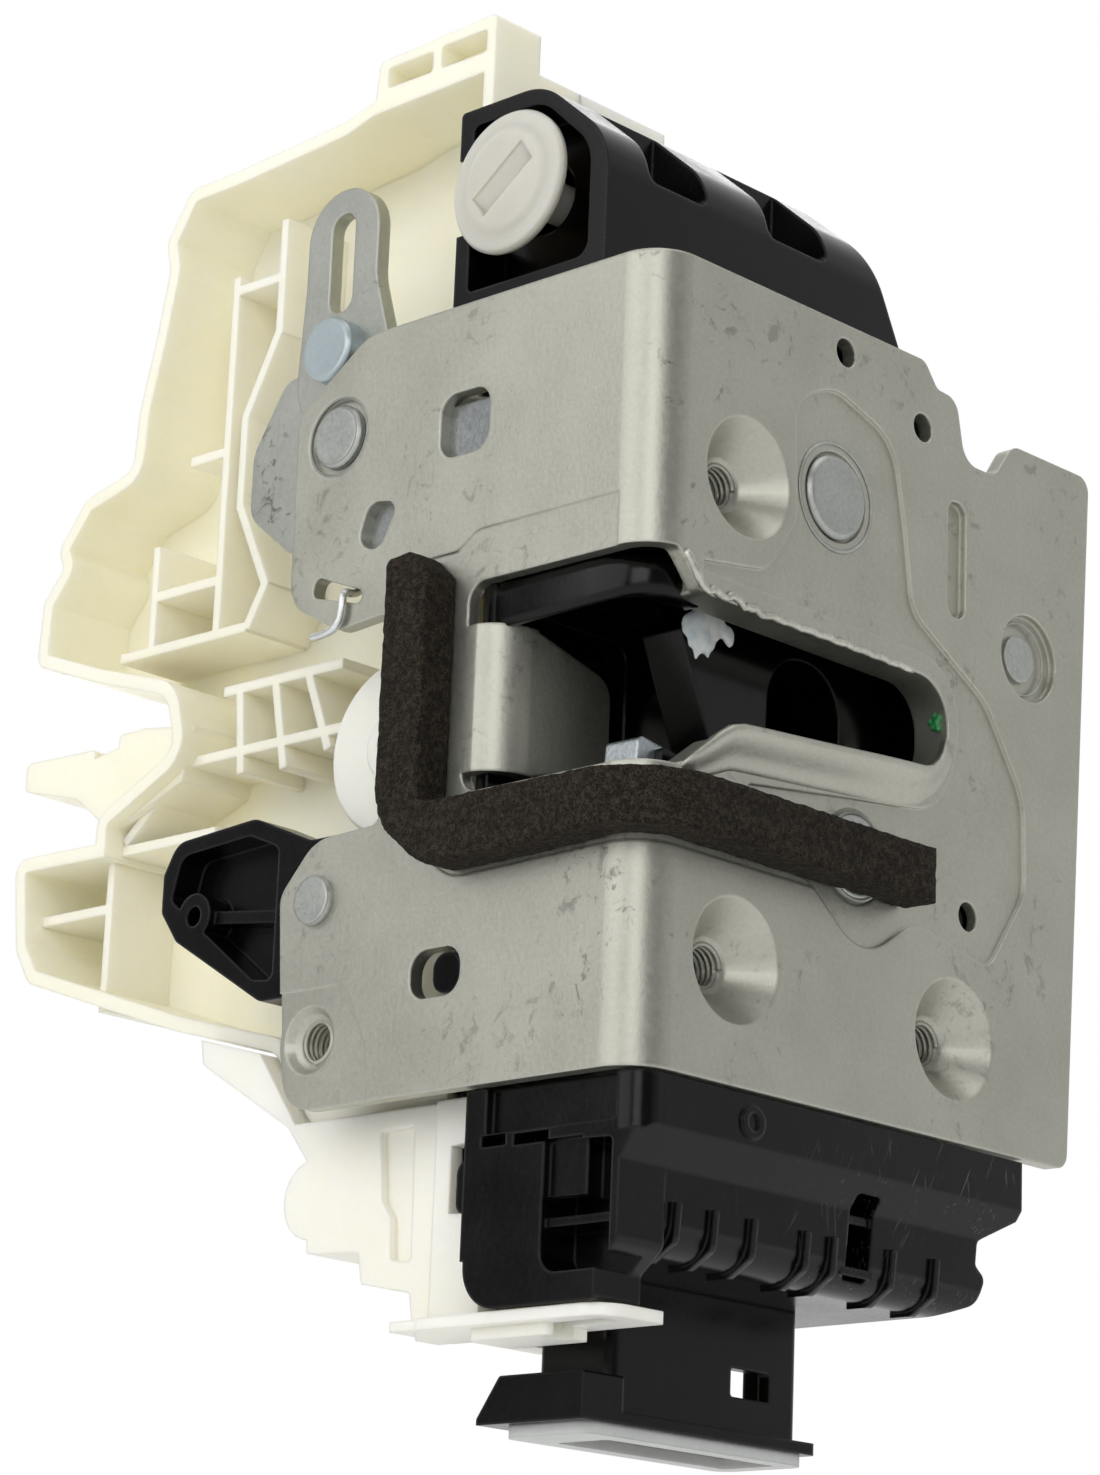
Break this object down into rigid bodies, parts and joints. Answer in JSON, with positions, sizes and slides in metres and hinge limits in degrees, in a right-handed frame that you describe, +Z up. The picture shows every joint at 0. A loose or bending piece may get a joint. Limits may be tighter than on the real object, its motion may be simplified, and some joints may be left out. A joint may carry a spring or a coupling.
{
  "type": "vehicle side door latch with lock actuator",
  "caption": "Side door latch with lock actuator: folded steel plate with a striker mouth, foam seal, turning catch and pawl, side levers, child lock knob, ribbed tray and plug socket.",
  "frame": {"origin": "where the striker's line crosses the sharp corner of the folded plate, in the middle of the mouth's height", "axes": "+X along the plate that is bolted to the door's end, the way the striker enters; +Y into the door along the side flange; +Z up"},
  "size_m": [0.0864, 0.1285, 0.1772],
  "materials": {
    "zinc_steel": "satin zinc plate",
    "dark_steel": "satin",
    "lever_steel": "satin",
    "rivet_steel": "bright zinc",
    "spring_steel": "bright wire",
    "motor_steel": "satin",
    "black_plastic": "semi-gloss moulded",
    "cream_plastic": "natural moulded",
    "pale_plastic": "natural moulded",
    "white_plastic": "milky moulded",
    "foam": "closed-cell foam",
    "grey_rubber": "soft matte",
    "brass": "plain"
  },
  "bodies": {
    "frame": {"latch_plate": "zinc_steel", "back_plate": "zinc_steel", "catch_pin": "rivet_steel", "pawl_pin": "rivet_steel", "plate_rivet": "rivet_steel", "catch_spring": "spring_steel", "pawl_spring": "spring_steel", "latch_housing": "black_plastic", "foam_seal": "foam", "child_lock_tower": "black_plastic", "lever_pin": "rivet_steel", "lever_spring": "spring_steel", "carrier": "cream_plastic", "actuator_cover": "pale_plastic", "cover_screws": "rivet_steel", "lock_motor": "motor_steel", "lower_housing": "black_plastic", "connector_shell": "black_plastic", "connector_seal": "grey_rubber", "connector_terminals": "brass", "side_bracket": "black_plastic", "lower_rivet": "rivet_steel"},
    "catch": {"catch": "dark_steel", "catch_cover": "black_plastic"},
    "pawl": {"pawl": "dark_steel", "pawl_cover": "black_plastic"},
    "release_lever": {"release_lever": "lever_steel", "arm_rivet": "rivet_steel"},
    "inside_lever": {"inside_lever": "lever_steel"},
    "child_lock": {"child_lock_knob": "white_plastic"},
    "lock_cam": {"lock_cam": "white_plastic"},
    "worm": {"motor_worm": "brass"},
    "worm_wheel": {"worm_wheel": "white_plastic"}
  },
  "joints": [
    {"name": "catch_turn", "type": "hinge", "parent": "frame", "child": "catch", "pos_m": [0.0322, 0.0126, 0.027], "axis": [0, 1, 0], "range_deg": [0, 40]},
    {"name": "pawl_turn", "type": "hinge", "parent": "frame", "child": "pawl", "pos_m": [0.0368, 0.0125, -0.0159], "axis": [0, 1, 0], "range_deg": [-16, 0], "stiffness_Nm_per_rad": 0.05, "springref_deg": 17.19},
    {"name": "release_lever_turn", "type": "hinge", "parent": "frame", "child": "release_lever", "pos_m": [0.0064, 0.0526, 0.0368], "axis": [1, 0, 0], "range_deg": [-24, 0], "stiffness_Nm_per_rad": 0.05, "springref_deg": 17.19},
    {"name": "inside_lever_turn", "type": "hinge", "parent": "frame", "child": "inside_lever", "pos_m": [0.0089, 0.0526, 0.0368], "axis": [1, 0, 0], "range_deg": [0, 18], "stiffness_Nm_per_rad": 0.05, "springref_deg": -17.19},
    {"name": "child_lock_turn", "type": "hinge", "parent": "frame", "child": "child_lock", "pos_m": [0.005, 0.0284, 0.065], "axis": [1, 0, 0], "range_deg": [-60, 0]},
    {"name": "lock_cam_turn", "type": "hinge", "parent": "frame", "child": "lock_cam", "pos_m": [0.012, 0.049, -0.001], "axis": [1, 0, 0], "range_deg": [-30, 30]},
    {"name": "wheel_turn", "type": "hinge", "parent": "frame", "child": "worm_wheel", "pos_m": [0.033, 0.077, 0.0431], "axis": [1, 0, 0], "continuous": true},
    {"name": "worm_turn", "type": "hinge", "parent": "frame", "child": "worm", "pos_m": [0.033, 0.06, 0.043], "axis": [0, 0, 1], "continuous": true}
  ],
  "couplings": [
    {"joint": "worm_turn", "follows": "wheel_turn", "ratio": 32}
  ]
}
